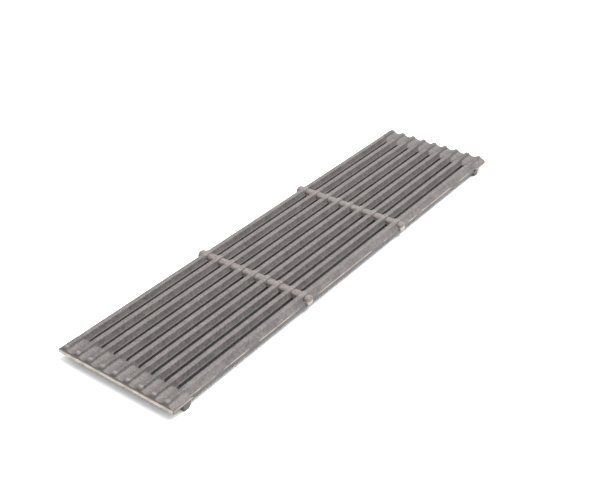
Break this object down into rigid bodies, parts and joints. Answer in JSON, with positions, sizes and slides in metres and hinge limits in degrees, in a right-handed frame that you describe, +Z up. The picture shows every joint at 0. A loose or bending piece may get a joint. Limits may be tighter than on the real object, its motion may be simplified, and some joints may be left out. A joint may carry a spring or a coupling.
{
  "type": "broiler grate",
  "caption": "Cast-iron cooking grate: ridged bars between two end plates, tied by cross ribs, standing on cast lugs.",
  "frame": {"origin": "middle of the rectangle that the grate covers, on the surface that its lugs stand on", "axes": "+X across the bars, to the right seen from the front end; +Y along the bars, towards the rear end; +Z up, towards the ridges that food lies on"},
  "size_m": [0.135, 0.534, 0.0169],
  "materials": {
    "cast_iron": "bare sand-cast iron, warm grey, matt, with ground edges"
  },
  "bodies": {
    "root": {"bar_1": "cast_iron", "bar_2": "cast_iron", "bar_3": "cast_iron", "bar_4": "cast_iron", "bar_5": "cast_iron", "bar_6": "cast_iron", "bar_7": "cast_iron", "bar_8": "cast_iron", "bar_9": "cast_iron", "front_end_plate": "cast_iron", "rear_end_plate": "cast_iron", "front_cross_rib": "cast_iron", "rear_cross_rib": "cast_iron", "front_left_lug": "cast_iron", "front_right_lug": "cast_iron", "rear_left_lug": "cast_iron", "rear_right_lug": "cast_iron"}
  },
  "joints": []
}
